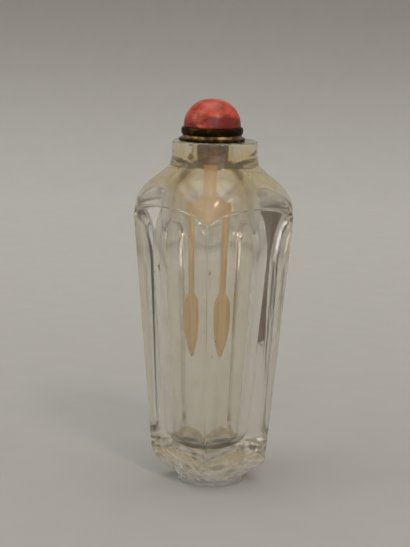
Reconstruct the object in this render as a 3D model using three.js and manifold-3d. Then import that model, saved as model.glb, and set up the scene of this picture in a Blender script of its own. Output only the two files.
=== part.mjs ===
// Snuff bottle: a hollow square glass bottle on a small round foot, with a domed stopper
// on a metal collar, a cork plug in the neck and a spoon that hangs from the plug.
// Millimetres, +Z up. The origin is the middle of the foot's underside.
// The four flat faces look along +X, -X, +Y and -Y.

import * as THREE from 'three';
import * as BufferGeometryUtils from 'three/addons/utils/BufferGeometryUtils.js';
import Module from 'manifold-3d';

// Driving dimensions

// Foot
const footRadius = 7.06;
const footHeight = 1.2;
const footEdge = 0.3;
const footShiftX = 0.35;
const footShiftY = 0.4;

// Body, widths are from the axis to a flat face
const baseHalfWidth = 8.65;
const shoulderHalfWidth = 11.755;
const cornerRound = 0.35;
const undersideHeight = 4.4;
const undersideFullness = 1.8;
const undersideRise = 2.2;
const faceHeight = 50.1;
const creaseRise = 2.6;
const creaseFullness = 2.7;

// Shoulder and neck
const shoulderHeight = 10.8;
const shoulderSwell = 0.75;
const lipShare = 0.06;
const neckRadius = 8.76;
const neckHeight = 5.0;
const neckFlare = 0.45;
const rimRound = 0.35;

// Hollow, ground out a little off the body's axis
const hollowShiftX = -0.4;
const hollowShiftY = -0.46;
const floorThickness = 7.8;
const floorRound = 4.4;
const floorFullness = 2.8;
const wallAtBase = 2.1;
const wallAtShoulder = 0.9;
const hollowShoulder = 20.5;
const boreRadius = 4.14;
const boreShiftX = -0.17;
const boreShiftY = -0.2;

// Stopper, its collar and dome set square over the hollow
const flangeRadius = 6.78;
const flangeHeight = 0.55;
const flangeEdge = 0.15;
const coveRadius = 6.0;
const coveHeight = 0.75;
const bezelRadius = 6.32;
const bezelHeight = 1.4;
const domeRadius = 5.85;
const domeHeight = 5.8;
const domeFullness = 2.15;

// Plug, centred in the bore, and spoon
const plugClearance = 0.84;
const plugLength = 4.9;
const plugTaper = 0.12;
const plugEdge = 0.35;
const handleWidth = 2.65;
const handleTipWidth = 2.2;
const handleThickness = 1.5;
const handleLength = 26.15;
const bladeLength = 13.3;
const bladeWidth = 5.9;
const bladeThickness = 1.0;
const bladeHollow = 0.4;
const spoonTurn = 49;
const spoonOffset = 1.7;
const spoonBow = 1.4;

// Facets
const faceSteps = 7;
const cornerSteps = 2;
const undersideSteps = 7;
const faceRings = 4;
const shoulderSteps = 13;
const cavitySegments = 48;
const roundSegments = 40;
const spoonSegments = 16;

// Heights that follow from the sizes

const cornerBottomZ = footHeight + undersideHeight;
const cornerTopZ = cornerBottomZ + faceHeight;
const neckBaseZ = cornerTopZ + shoulderHeight;
const rimZ = neckBaseZ + neckHeight;
const collarTopZ = rimZ + flangeHeight + coveHeight + bezelHeight;
const plugBottomZ = rimZ - plugLength;
const neckFoot = neckRadius + neckFlare;

// Share of the drop below the neck's foot, against share of the spread outward,
// down a corner and, as far as the crease, down the middle of a face
const cornerShoulder = [
  [0, 0],
  [0.05, 0.07],
  [0.11, 0.16],
  [0.186, 0.29],
  [0.296, 0.51],
  [0.482, 0.78],
  [0.704, 0.945],
  [1, 1],
];
const faceShoulder = [
  [0, 0],
  [0.05, 0.09],
  [0.11, 0.22],
  [0.186, 0.4],
  [0.296, 0.65],
  [0.482, 0.88],
  [0.704, 0.985],
  [1, 1],
];

// Helpers

// Value of a curve given as rising [t, value] points, with a smooth run between them
function along(points, t) {
  const last = points.length - 1;
  let i = 0;
  while (i < last - 1 && t > points[i + 1][0]) {
    i += 1;
  }
  const slope = (a, b) => (points[b][1] - points[a][1]) / (points[b][0] - points[a][0]);
  const here = slope(i, i + 1);
  const before = i > 0 ? slope(i - 1, i) : here;
  const after = i < last - 1 ? slope(i + 1, i + 2) : here;
  const start = before * here > 0 ? (2 * before * here) / (before + here) : 0;
  const end = after * here > 0 ? (2 * after * here) / (after + here) : 0;
  const width = points[i + 1][0] - points[i][0];
  const s = Math.min(1, Math.max(0, (t - points[i][0]) / width));
  const a = points[i][1] * (1 + 2 * s) * (1 - s) ** 2;
  const b = start * width * s * (1 - s) ** 2;
  const c = points[i + 1][1] * (3 - 2 * s) * s ** 2;
  const d = end * width * s ** 2 * (s - 1);
  return a + b + c + d;
}

// Angles around the body, measured from the middle of each face, closest at the corners
function bodyAngles() {
  const share = cornerRound / shoulderHalfWidth;
  const flatEnd = Math.atan(1 - share);
  const half = [];
  for (let i = 1; i <= faceSteps; i += 1) {
    half.push(flatEnd * Math.sin((i / faceSteps) * 1.25) / Math.sin(1.25));
  }
  for (let i = 1; i < cornerSteps; i += 1) {
    half.push(flatEnd + ((Math.PI / 4 - flatEnd) * i) / cornerSteps);
  }
  const angles = [];
  for (let face = 0; face < 4; face += 1) {
    const middle = (face * Math.PI) / 2;
    for (let i = half.length - 1; i >= 0; i -= 1) {
      angles.push({ angle: middle - half[i], off: half[i] });
    }
    angles.push({ angle: middle, off: 0 });
    for (const off of half) {
      angles.push({ angle: middle + off, off });
    }
    angles.push({ angle: middle + Math.PI / 4, off: Math.PI / 4 });
  }
  return angles;
}

// Distance from the axis to the corner of the body's square section
function cornerReach(halfWidth) {
  const round = (cornerRound / shoulderHalfWidth) * halfWidth;
  return (halfWidth - round) * Math.SQRT2 + round;
}

// Distance from the axis to a square with rounded corners, given how far out its faces and
// its corners lie. The nearer the two are, the rounder the section.
function sectionRadius(halfWidth, reach, off) {
  const needed = (halfWidth * Math.SQRT2 - reach) / (Math.SQRT2 - 1);
  const round = Math.min(halfWidth, Math.max(0, needed));
  const inner = halfWidth - round;
  if (Math.tan(off) <= inner / halfWidth) {
    return halfWidth / Math.cos(off);
  }
  const toward = inner * (Math.cos(off) + Math.sin(off));
  const rest = round ** 2 - inner ** 2 * (1 - Math.sin(2 * off));
  return toward + Math.sqrt(Math.max(0, rest));
}

function squareRadius(halfWidth, off) {
  return sectionRadius(halfWidth, cornerReach(halfWidth), off);
}

// Half width of the body's flat faces at a height
function halfWidthAt(z) {
  const t = (z - cornerBottomZ) / faceHeight;
  return baseHalfWidth + (shoulderHalfWidth - baseHalfWidth) * t;
}

// Distance from the axis to the shoulder, which is round at the neck and squarer below
function shoulderRadius(z, off) {
  const drop = (neckBaseZ - z) / shoulderHeight;
  const faceDrop = 1 - creaseRise / shoulderHeight;
  const wide = halfWidthAt(cornerTopZ + creaseRise) + shoulderSwell;
  const reach = cornerReach(halfWidthAt(cornerTopZ));
  const faceSpread = along(faceShoulder, Math.min(1, drop / faceDrop));
  const cornerSpread = along(cornerShoulder, Math.min(1, drop));
  const middle = neckFoot + (wide - neckFoot) * faceSpread;
  const corner = neckFoot + (reach - neckFoot) * cornerSpread;
  return sectionRadius(middle, corner, off);
}

// Where a flat face ends below and above, at an angle off the face's middle
function faceEnds(off) {
  const across = Math.min(1, Math.tan(off));
  return {
    low: cornerBottomZ + undersideRise * (1 - across ** creaseFullness),
    high: cornerTopZ + creaseRise * (1 - across ** creaseFullness),
  };
}

// Closed solid from stacked rings of points, capped by a fan at each end
function loft(rings) {
  const count = rings[0].length;
  const position = [];
  for (const ring of rings) {
    for (const [x, y, z] of ring) {
      position.push(x, y, z);
    }
  }
  const middle = (ring) => {
    const sum = ring.reduce((s, p) => [s[0] + p[0], s[1] + p[1], s[2] + p[2]], [0, 0, 0]);
    return sum.map((v) => v / ring.length);
  };
  const low = position.length / 3;
  position.push(...middle(rings[0]));
  const high = low + 1;
  position.push(...middle(rings[rings.length - 1]));
  const index = [];
  const top = (rings.length - 1) * count;
  for (let i = 0; i < count; i += 1) {
    const j = (i + 1) % count;
    index.push(low, j, i);
    index.push(high, top + i, top + j);
    for (let r = 0; r < rings.length - 1; r += 1) {
      const a = r * count;
      const b = a + count;
      index.push(a + i, a + j, b + j);
      index.push(a + i, b + j, b + i);
    }
  }
  const geometry = new THREE.BufferGeometry();
  geometry.setAttribute('position', new THREE.Float32BufferAttribute(position, 3));
  geometry.setIndex(index);
  geometry.computeVertexNormals();
  return geometry;
}

// Ring of a turned piece
function circle(radius, z, segments, x = 0, y = 0) {
  const ring = [];
  for (let i = 0; i < segments; i += 1) {
    const angle = (2 * Math.PI * i) / segments;
    ring.push([x + radius * Math.cos(angle), y + radius * Math.sin(angle), z]);
  }
  return ring;
}

// Turned solid from [radius, z] pairs that rise from its underside
function turned(profile, segments) {
  return loft(profile.map(([radius, z]) => circle(radius, z, segments)));
}

function toManifold(wasm, geometry) {
  const bare = geometry.clone();
  bare.deleteAttribute('normal');
  bare.deleteAttribute('uv');
  const merged = BufferGeometryUtils.mergeVertices(bare);
  const vertProperties = new Float32Array(merged.attributes.position.array);
  const triVerts = new Uint32Array(merged.index.array);
  return new wasm.Manifold(new wasm.Mesh({ numProp: 3, vertProperties, triVerts }));
}

function fromManifold(solid) {
  const mesh = solid.getMesh();
  const geometry = new THREE.BufferGeometry();
  const position = new Float32Array(mesh.vertProperties);
  geometry.setAttribute('position', new THREE.BufferAttribute(position, 3));
  geometry.setIndex(new THREE.BufferAttribute(new Uint32Array(mesh.triVerts), 1));
  geometry.computeVertexNormals();
  return geometry;
}

function named(name, geometry, look) {
  const mesh = new THREE.Mesh(geometry, new THREE.MeshStandardMaterial(look));
  mesh.name = name;
  return mesh;
}

// Bottle

function bottleOutside() {
  const angles = bodyAngles();
  const ring = (place, x = 0, y = 0) => angles.map(({ angle, off }) => {
    const [radius, z] = place(off);
    return [x + radius * Math.cos(angle), y + radius * Math.sin(angle), z];
  });
  const rings = [];
  rings.push(ring(() => [footRadius - footEdge, 0], footShiftX, footShiftY));
  rings.push(ring(() => [footRadius, footEdge], footShiftX, footShiftY));
  for (let i = 0; i <= undersideSteps; i += 1) {
    const climb = 1 - Math.cos(((i / undersideSteps) * Math.PI) / 2);
    const spread = 1 - (1 - climb) ** undersideFullness;
    const blend = (outer) => footRadius + (outer - footRadius) * spread;
    rings.push(ring((off) => {
      const { low } = faceEnds(off);
      const wide = halfWidthAt(low);
      const radius = sectionRadius(blend(wide), blend(cornerReach(wide)), off);
      return [radius, footHeight + (low - footHeight) * climb];
    }, footShiftX * (1 - spread), footShiftY * (1 - spread)));
  }
  for (let i = 1; i <= faceRings; i += 1) {
    rings.push(ring((off) => {
      const { low, high } = faceEnds(off);
      const z = low + ((high - low) * i) / faceRings;
      return [squareRadius(halfWidthAt(z), off), z];
    }));
  }
  for (let i = 0; i < shoulderSteps; i += 1) {
    const left = (1 - i / (shoulderSteps - 1)) ** 1.15;
    const climb = 1 - (1 - lipShare) * left;
    rings.push(ring((off) => {
      const { high } = faceEnds(off);
      const z = high + (neckBaseZ - high) * climb;
      return [shoulderRadius(z, off), z];
    }));
  }
  for (const rise of [0.12, 0.3, 0.6]) {
    const flare = neckFlare * (1 - rise) ** 3;
    rings.push(ring(() => [neckRadius + flare, neckBaseZ + neckHeight * rise]));
  }
  rings.push(ring(() => [neckRadius, rimZ - rimRound]));
  rings.push(ring(() => [neckRadius - rimRound * 0.3, rimZ - rimRound * 0.3]));
  rings.push(ring(() => [neckRadius - rimRound, rimZ]));
  return loft(rings);
}

// Round hollow that follows the body's taper, narrows to the bore and runs out at the rim.
// Its middle shifts to the bore's as it narrows.
function bottleInside() {
  const wallAt = (z) => {
    const t = (z - cornerBottomZ) / faceHeight;
    return wallAtBase + (wallAtShoulder - wallAtBase) * t;
  };
  const radiusAt = (z) => halfWidthAt(z) - wallAt(z);
  const sideStart = floorThickness + floorRound;
  const sideEnd = neckBaseZ - hollowShoulder;
  const rings = [];
  const addRing = (radius, z, swing) => {
    const x = boreShiftX + (hollowShiftX - boreShiftX) * swing;
    const y = boreShiftY + (hollowShiftY - boreShiftY) * swing;
    rings.push(circle(radius, z, cavitySegments, x, y));
  };
  for (let i = 1; i <= 7; i += 1) {
    const turn = ((i / 7) * Math.PI) / 2;
    const radius = radiusAt(sideStart) * Math.sin(turn) ** (2 / floorFullness);
    const lift = Math.max(0, Math.cos(turn)) ** (2 / floorFullness);
    addRing(radius, sideStart - floorRound * lift, 1);
  }
  for (let i = 1; i <= 4; i += 1) {
    const z = sideStart + ((sideEnd - sideStart) * i) / 4;
    addRing(radiusAt(z), z, 1);
  }
  for (let i = 1; i <= 11; i += 1) {
    const t = i / 11;
    const z = sideEnd + hollowShoulder * t;
    const swing = (1 + Math.cos(Math.PI * t ** 1.5)) / 2;
    addRing(boreRadius + (radiusAt(sideEnd) - boreRadius) * swing, z, swing);
  }
  addRing(boreRadius, rimZ + 1, 0);
  return loft(rings);
}

function bottle(wasm) {
  const outside = toManifold(wasm, bottleOutside());
  return fromManifold(outside.subtract(toManifold(wasm, bottleInside())));
}

// Stopper

// Thin flange, a hollow cove above it and a rounded bezel that holds the dome
function collar() {
  const flangeTop = rimZ + flangeHeight;
  const bezelBottom = flangeTop + coveHeight;
  const bezelDepth = bezelRadius - coveRadius;
  const profile = [
    [flangeRadius - flangeEdge, rimZ],
    [flangeRadius, rimZ + flangeEdge],
    [flangeRadius, flangeTop - flangeEdge],
    [flangeRadius - flangeEdge, flangeTop],
    [coveRadius + (flangeRadius - flangeEdge - coveRadius) * 0.4, flangeTop + coveHeight * 0.3],
    [coveRadius, flangeTop + coveHeight * 0.85],
  ];
  for (let i = 0; i <= 4; i += 1) {
    const turn = (i / 4) * Math.PI;
    const radius = coveRadius + bezelDepth * Math.sin(turn) ** 0.6;
    profile.push([radius, bezelBottom + (bezelHeight * (1 - Math.cos(turn))) / 2]);
  }
  return turned(profile, roundSegments);
}

// Dome that stands nearly upright at its rim and rounds over to a blunt top
function cabochon() {
  const profile = [];
  const steps = 11;
  for (let i = 0; i < steps; i += 1) {
    const turn = ((i / steps) * Math.PI) / 2;
    const radius = domeRadius * Math.cos(turn) ** (2 / domeFullness);
    profile.push([radius, collarTopZ + domeHeight * Math.sin(turn) ** (2 / domeFullness)]);
  }
  profile.push([domeRadius * 0.06, collarTopZ + domeHeight]);
  return turned(profile, roundSegments);
}

function plug() {
  const radius = boreRadius - plugClearance;
  return turned([
    [radius - plugTaper - plugEdge, plugBottomZ],
    [radius - plugTaper, plugBottomZ + plugEdge],
    [radius, rimZ],
  ], 40);
}

// Narrow handle that swells into a leaf-shaped blade with a shallow hollow on one side. It
// leaves the plug off its middle and bows out a little further below.
function spoon() {
  const rings = [];
  const length = handleLength + bladeLength;
  const tipZ = plugBottomZ - length;
  const bladeTopZ = tipZ + bladeLength;
  const turn = (spoonTurn * Math.PI) / 180;
  const leaf = [
    [0, 0.12],
    [0.03, 0.25],
    [0.09, 0.41],
    [0.23, 0.69],
    [0.38, 0.88],
    [0.52, 0.98],
    [0.65, 1],
    [0.8, 0.98],
    [0.88, 0.9],
    [0.94, 0.7],
    [1, handleTipWidth / bladeWidth],
  ];
  const section = (width, thickness, hollow, z) => {
    const bow = 1 - ((z - tipZ) / length) ** 3;
    const side = -spoonOffset - spoonBow * bow;
    const slip = -0.25 * bow;
    const ring = [];
    for (let i = 0; i < spoonSegments; i += 1) {
      const angle = (2 * Math.PI * i) / spoonSegments;
      const across = Math.cos(angle);
      const x = slip + (width / 2) * across;
      const y = side + (thickness / 2) * Math.sin(angle) + hollow * (across ** 2 - 0.5);
      ring.push([
        x * Math.cos(turn) - y * Math.sin(turn),
        x * Math.sin(turn) + y * Math.cos(turn),
        z,
      ]);
    }
    return ring;
  };
  const bladeSteps = 14;
  for (let i = 0; i <= bladeSteps; i += 1) {
    const t = i / bladeSteps;
    const width = bladeWidth * along(leaf, t);
    const fill = Math.sin(Math.PI * Math.min(1, t * 1.02)) ** 0.7;
    const thick = bladeThickness * (0.45 + 0.55 * Math.min(1, 6 * t));
    const joined = thick + (handleThickness - thick) * Math.max(0, (t - 0.7) / 0.3) ** 1.5;
    rings.push(section(width, joined, bladeHollow * fill, tipZ + bladeLength * t));
  }
  const handleSteps = 6;
  for (let i = 1; i <= handleSteps; i += 1) {
    const t = i / handleSteps;
    const width = handleTipWidth + (handleWidth - handleTipWidth) * t;
    rings.push(section(width, handleThickness, 0, bladeTopZ + handleLength * t));
  }
  return loft(rings);
}

// Assembly

const wasm = await Module();
wasm.setup();

const overHollow = [
  named('stopper_collar', collar(), { color: 0x3a2c1c, roughness: 0.45, metalness: 0.9 }),
  named('stopper_cabochon', cabochon(), { color: 0xb4503f, roughness: 0.2, metalness: 0 }),
  named('spoon', spoon(), { color: 0xb59c74, roughness: 0.5, metalness: 0 }),
];
const inBore = named('stopper_plug', plug(), { color: 0x5a4128, roughness: 0.9, metalness: 0 });

const group = new THREE.Group();
group.name = 'snuff_bottle';
group.add(named('bottle', bottle(wasm), {
  color: 0xd8d4c6,
  roughness: 0.06,
  metalness: 0,
  transparent: true,
  opacity: 0.35,
}));
for (const piece of overHollow) {
  piece.geometry.translate(hollowShiftX, hollowShiftY, 0);
  group.add(piece);
}
inBore.geometry.translate(boreShiftX, boreShiftY, 0);
group.add(inBore);

export default group;
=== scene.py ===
"""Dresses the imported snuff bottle: clear glass body, coral dome, dark brass collar, cork
plug and bone spoon, on a pale sweep under soft studio light."""

import math

import bmesh
import bpy
from bpy.props import FloatProperty, FloatVectorProperty, IntProperty, PointerProperty
from bpy.types import Operator, Panel, PropertyGroup
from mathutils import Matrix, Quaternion, Vector, noise


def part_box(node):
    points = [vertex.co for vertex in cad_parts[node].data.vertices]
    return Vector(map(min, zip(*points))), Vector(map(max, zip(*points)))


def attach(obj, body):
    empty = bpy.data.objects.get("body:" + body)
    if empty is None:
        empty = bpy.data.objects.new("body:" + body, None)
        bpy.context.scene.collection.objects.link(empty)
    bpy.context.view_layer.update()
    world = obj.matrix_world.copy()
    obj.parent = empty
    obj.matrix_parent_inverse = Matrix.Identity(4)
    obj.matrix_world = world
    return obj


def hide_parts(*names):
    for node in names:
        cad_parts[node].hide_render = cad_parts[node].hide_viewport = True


bl_info = {
    "name": "Snuff Bottle",
    "version": (1, 0, 0),
    "blender": (4, 5, 0),
    "location": "3D View > Sidebar > Snuff Bottle",
    "description": "Models and finishes a small square glass snuff bottle and its stopper",
    "category": "Add Mesh",
}

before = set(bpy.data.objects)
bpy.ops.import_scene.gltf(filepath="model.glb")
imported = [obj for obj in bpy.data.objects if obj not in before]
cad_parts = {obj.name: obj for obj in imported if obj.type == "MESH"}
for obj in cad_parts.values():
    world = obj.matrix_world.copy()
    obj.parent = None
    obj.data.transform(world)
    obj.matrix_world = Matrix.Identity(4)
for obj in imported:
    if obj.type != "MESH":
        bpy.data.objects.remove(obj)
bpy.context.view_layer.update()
MM = 0.001
GLASS_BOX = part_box("bottle")
COLLAR_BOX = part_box("stopper_collar")
DOME_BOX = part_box("stopper_cabochon")
PLUG_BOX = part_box("stopper_plug")
SPOON_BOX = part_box("spoon")
HOLLOW_AXIS = (COLLAR_BOX[0] + COLLAR_BOX[1]) / 2
BORE_AXIS = (PLUG_BOX[0] + PLUG_BOX[1]) / 2
RIM_HEIGHT = GLASS_BOX[1].z


# Small tools shared by the operators


def srgb(code):
    """Linear RGBA from an sRGB hex value such as "B4503F"."""
    parts = [int(code[i : i + 2], 16) / 255 for i in (0, 2, 4)]
    lin = [c / 12.92 if c <= 0.04045 else ((c + 0.055) / 1.055) ** 2.4 for c in parts]
    return (*lin, 1.0)


def length(name, text, value):
    """A size that a user may change, given in millimetres."""
    return FloatProperty(
        name=name, description=text, default=value * MM, min=0, unit="LENGTH", precision=4
    )


def along(points, t):
    """Smooth value at t of a curve through rising (t, value) points."""
    last = len(points) - 1
    i = 0
    while i < last - 1 and t > points[i + 1][0]:
        i += 1

    def slope(a, b):
        return (points[b][1] - points[a][1]) / (points[b][0] - points[a][0])

    here = slope(i, i + 1)
    before = slope(i - 1, i) if i > 0 else here
    after = slope(i + 1, i + 2) if i < last - 1 else here
    start = 2 * before * here / (before + here) if before * here > 0 else 0
    end = 2 * after * here / (after + here) if after * here > 0 else 0
    width = points[i + 1][0] - points[i][0]
    s = min(1, max(0, (t - points[i][0]) / width))
    return (
        points[i][1] * (1 + 2 * s) * (1 - s) ** 2
        + start * width * s * (1 - s) ** 2
        + points[i + 1][1] * (3 - 2 * s) * s**2
        + end * width * s**2 * (s - 1)
    )


def spin_profile(bm, profile, steps, centre=(0, 0, 0), tag=None):
    """Turns (radius, height) points a full circle round an upright axis. tag gives each
    profile point a number that its copies keep."""
    layer = bm.verts.layers.float.new("run") if tag else None
    verts = []
    for i, (radius, height) in enumerate(profile):
        vert = bm.verts.new((centre[0] + radius, centre[1], height))
        if tag:
            vert[layer] = tag[i]
        verts.append(vert)
    edges = [bm.edges.new(pair) for pair in zip(verts, verts[1:])]
    bmesh.ops.spin(
        bm,
        geom=verts + edges,
        cent=centre,
        axis=(0, 0, 1),
        dvec=(0, 0, 0),
        angle=math.tau,
        steps=steps,
        use_merge=True,
        use_normal_flip=False,
        use_duplicate=False,
    )
    bmesh.ops.remove_doubles(bm, verts=bm.verts[:], dist=1e-7)
    return layer


def finish_piece(bm, name, node, slot, *materials):
    """Makes the piece's object from its bmesh, smooth and facing out, riding on the root."""
    bmesh.ops.recalc_face_normals(bm, faces=bm.faces[:])
    for face in bm.faces:
        face.smooth = True
    mesh = bpy.data.meshes.new(name)
    bm.to_mesh(mesh)
    bm.free()
    for material in materials:
        mesh.materials.append(material)
    piece = bpy.data.objects.new(name, mesh)
    bpy.context.scene.collection.objects.link(piece)
    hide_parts(node)
    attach(piece, "root")
    return piece


def add_node(tree, kind, settings=None, inputs=None, stops=()):
    """Adds a node, sets its properties, feeds its inputs with values or sockets, and gives a
    colour ramp its (place, colour) stops."""
    node = tree.nodes.new(kind)
    for key, value in (settings or {}).items():
        setattr(node, key, value)
    for key, value in (inputs or {}).items():
        if isinstance(value, bpy.types.NodeSocket):
            tree.links.new(value, node.inputs[key])
        else:
            node.inputs[key].default_value = value
    if stops:
        elements = node.color_ramp.elements
        while len(elements) > 1:
            elements.remove(elements[0])
        elements[0].position, elements[0].color = stops[0]
        for place, colour in stops[1:]:
            elements.new(place).color = colour
    return node


def new_material(name):
    """A new material, with its nodes, its shader and the socket for a place on the object."""
    material = bpy.data.materials.new(name)
    material.use_nodes = True
    tree = material.node_tree
    place = add_node(tree, "ShaderNodeTexCoord").outputs["Object"]
    return material, tree, tree.nodes["Principled BSDF"], place


def grey(value):
    """The same linear value in all three channels."""
    return (value, value, value, 1)


# Settings


class GlassBodySettings(PropertyGroup):
    foot_radius: length("Foot radius", "Radius of the round foot", 7.06)
    foot_height: length("Foot height", "Height of the foot's upright side", 1.2)
    foot_edge: length("Foot edge", "Rounding of the foot's lower edge", 0.3)
    foot_shift: FloatVectorProperty(
        name="Foot shift",
        description="Foot off the body's axis",
        size=2,
        default=(0.35 * MM, 0.4 * MM),
        unit="LENGTH",
    )
    base_half_width: length("Base half width", "Axis to face where the faces start", 8.65)
    shoulder_half_width: length("Shoulder half width", "Axis to face at the shoulder", 11.755)
    corner_round: length("Corner rounding", "Radius of the upright corners", 0.35)
    underside_height: length("Underside height", "Foot to the corner's lower end", 4.4)
    underside_rise: length("Underside rise", "How far a face stops short at its middle", 2.2)
    face_height: length("Face height", "Length of an upright corner", 50.1)
    crease_rise: length("Crease rise", "How far a face runs up at its middle", 2.6)
    shoulder_height: length("Shoulder height", "Corner's upper end to the neck", 10.8)
    shoulder_swell: length("Shoulder swell", "How far the shoulder stands proud of a face", 0.75)
    neck_radius: length("Neck radius", "Radius of the round neck", 8.76)
    neck_flare: length("Neck flare", "How far the neck spreads at its foot", 0.45)
    rim_round: length("Rim rounding", "Rounding of the neck's upper edge", 0.35)
    floor_thickness: length("Floor thickness", "Glass under the hollow", 7.8)
    floor_round: length("Floor rounding", "Rounding of the hollow's floor", 4.4)
    wall_at_base: length("Wall at base", "Thinnest glass low on a face", 2.1)
    wall_at_shoulder: length("Wall at shoulder", "Thinnest glass high on a face", 0.9)
    hollow_shoulder: length("Hollow shoulder", "Height over which the hollow narrows", 20.5)
    bore_radius: length("Bore radius", "Radius of the neck's bore", 4.14)
    tint: FloatVectorProperty(
        name="Glass tint",
        description="Colour that the glass gives to what is seen through it",
        subtype="COLOR",
        size=4,
        default=srgb("FDFAF3"),
    )


class StopperSettings(PropertyGroup):
    dome_fullness: FloatProperty(
        name="Dome fullness", description="2 is a half ball", default=2.15, min=1.5
    )
    flange_height: length("Flange height", "Thickness of the collar's flange", 0.55)
    cove_radius: length("Cove radius", "Radius of the collar's narrowest place", 6.0)
    cove_height: length("Cove height", "Height of the cove above the flange", 0.75)
    bezel_radius: length("Bezel radius", "Radius of the rounded bezel", 6.32)
    coral: FloatVectorProperty(
        name="Coral", description="Main colour", subtype="COLOR", size=4, default=srgb("C04A30")
    )


class SpoonSettings(PropertyGroup):
    blade_length: length("Blade length", "Length of the leaf-shaped blade", 13.3)
    blade_width: length("Blade width", "Widest place of the blade", 5.9)
    blade_thickness: length("Blade thickness", "Thickness of the blade", 1.0)
    blade_hollow: length("Blade hollow", "Depth of the blade's hollow", 0.4)
    handle_width: length("Handle width", "Width of the handle at the plug", 2.65)
    handle_tip_width: length("Handle tip width", "Width of the handle at the blade", 2.2)
    handle_thickness: length("Handle thickness", "Thickness of the handle", 1.5)
    offset: length("Offset", "Handle off the plug's middle", 1.7)
    bow: length("Bow", "How far the spoon bows out below the plug", 1.4)
    turn: FloatProperty(
        name="Turn",
        description="Which way the blade faces",
        default=math.radians(49),
        unit="ROTATION",
    )


class StageSettings(PropertyGroup):
    azimuth: FloatProperty(
        name="Azimuth",
        description="Camera's angle round the bottle",
        default=math.radians(49),
        unit="ROTATION",
    )
    pitch: FloatProperty(
        name="Pitch",
        description="How far the camera looks down",
        default=math.radians(10.2),
        unit="ROTATION",
    )
    roll: FloatProperty(
        name="Roll",
        description="How far the camera is turned on its own axis",
        default=math.radians(1.15),
        unit="ROTATION",
    )
    distance: length("Distance", "Camera to the bottle's middle", 307.9)
    steps: IntProperty(name="Sweep steps", description="Facets of the sweep", default=24)


# Glass body

# Share of the shoulder's drop, and how far it has spread there at a corner and amid a face
SHOULDER_CURVE = [
    (0, 0, 0),
    (0.05, 0.07, 0.09),
    (0.11, 0.16, 0.22),
    (0.186, 0.29, 0.4),
    (0.296, 0.51, 0.65),
    (0.482, 0.78, 0.88),
    (0.704, 0.945, 0.985),
    (1, 1, 1),
]
CORNER_SHOULDER = [(drop, corner) for drop, corner, _ in SHOULDER_CURVE]
FACE_SHOULDER = [(drop, face) for drop, _, face in SHOULDER_CURVE]
# The share of the shoulder's height in which it turns over onto a face
LIP = 0.06
# Fullness of curves, where 2 is a circle's
CREASE_FULLNESS = 2.7
UNDERSIDE_FULLNESS = 1.8
FLOOR_FULLNESS = 2.8
# How far wear has moved the lower end of the right, back, left and front corner, in mm
CORNER_WEAR = (-1.3, 0.2, 0.7, 0.9)
# Chips along the lower crease, and flakes all over the underside
CHIP_DEPTH = 0.5 * MM
CHIP_RATE = 9
FLAKE_DEPTH = 0.35 * MM
FLAKE_SIZE = 2.4 * MM
FLAKE_FLATNESS = 1.8
# The hollow's narrowing holds off by this power, and the bore's mouth is eased by this much
HOLLOW_EASE = 1.5
MOUTH_EDGE = 0.15 * MM
# Segments of the parts of the profile, and round the body
EDGE_STEPS = 6
UNDERSIDE_STEPS = 24
FACE_STEPS = 60
SHOULDER_STEPS = 48
NECK_STEPS = 16
FLOOR_STEPS = 24
WALL_STEPS = 24
NARROWING_STEPS = 40
BORE_STEPS = 6
BODY_STEPS = 224
# Zones of the profile, which a run counts through
UNDERSIDE, FACE, SHOULDER, FOOT, NECK, HOLLOW = 1, 2, 3, 5, 6, 7
# Material slots of the glass
POLISHED, DRILLED, FROSTED, STAINED, GROUND, HANDLED, BORE = range(7)
# Where the stain lies, as shares of the floor's rounding, and where the ground shoulder and
# the bore's film begin, as shares of the hollow's shoulder down from the neck
STAIN_SPAN = (0.07, 0.36)
FROST_DEPTH = 0.6
FILM_DEPTH = 0.08
# Heights between which the neck's stain and the base's dirt are graded
NECK_STAIN = (58 * MM, 78 * MM)
BASE_DIRT = (3 * MM, 11 * MM)


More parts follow.
